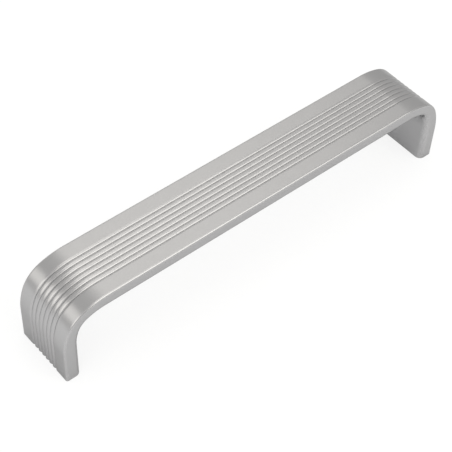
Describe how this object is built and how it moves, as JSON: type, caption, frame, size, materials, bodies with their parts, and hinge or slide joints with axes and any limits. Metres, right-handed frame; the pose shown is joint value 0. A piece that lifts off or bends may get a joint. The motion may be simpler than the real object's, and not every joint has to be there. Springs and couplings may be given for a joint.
{
  "type": "furniture handle",
  "caption": "Wide flat bow handle for a drawer or door, with a reeded outer face and a tapped hole in each foot.",
  "frame": {"origin": "midway between the two screw holes, on the plane of the two feet", "axes": "+X along the handle, +Y across it, +Z from the feet towards the strap"},
  "size_m": [0.166, 0.025, 0.0315],
  "materials": {
    "satin_metal": "satin"
  },
  "bodies": {
    "root": {"handle": "satin_metal"}
  },
  "joints": []
}
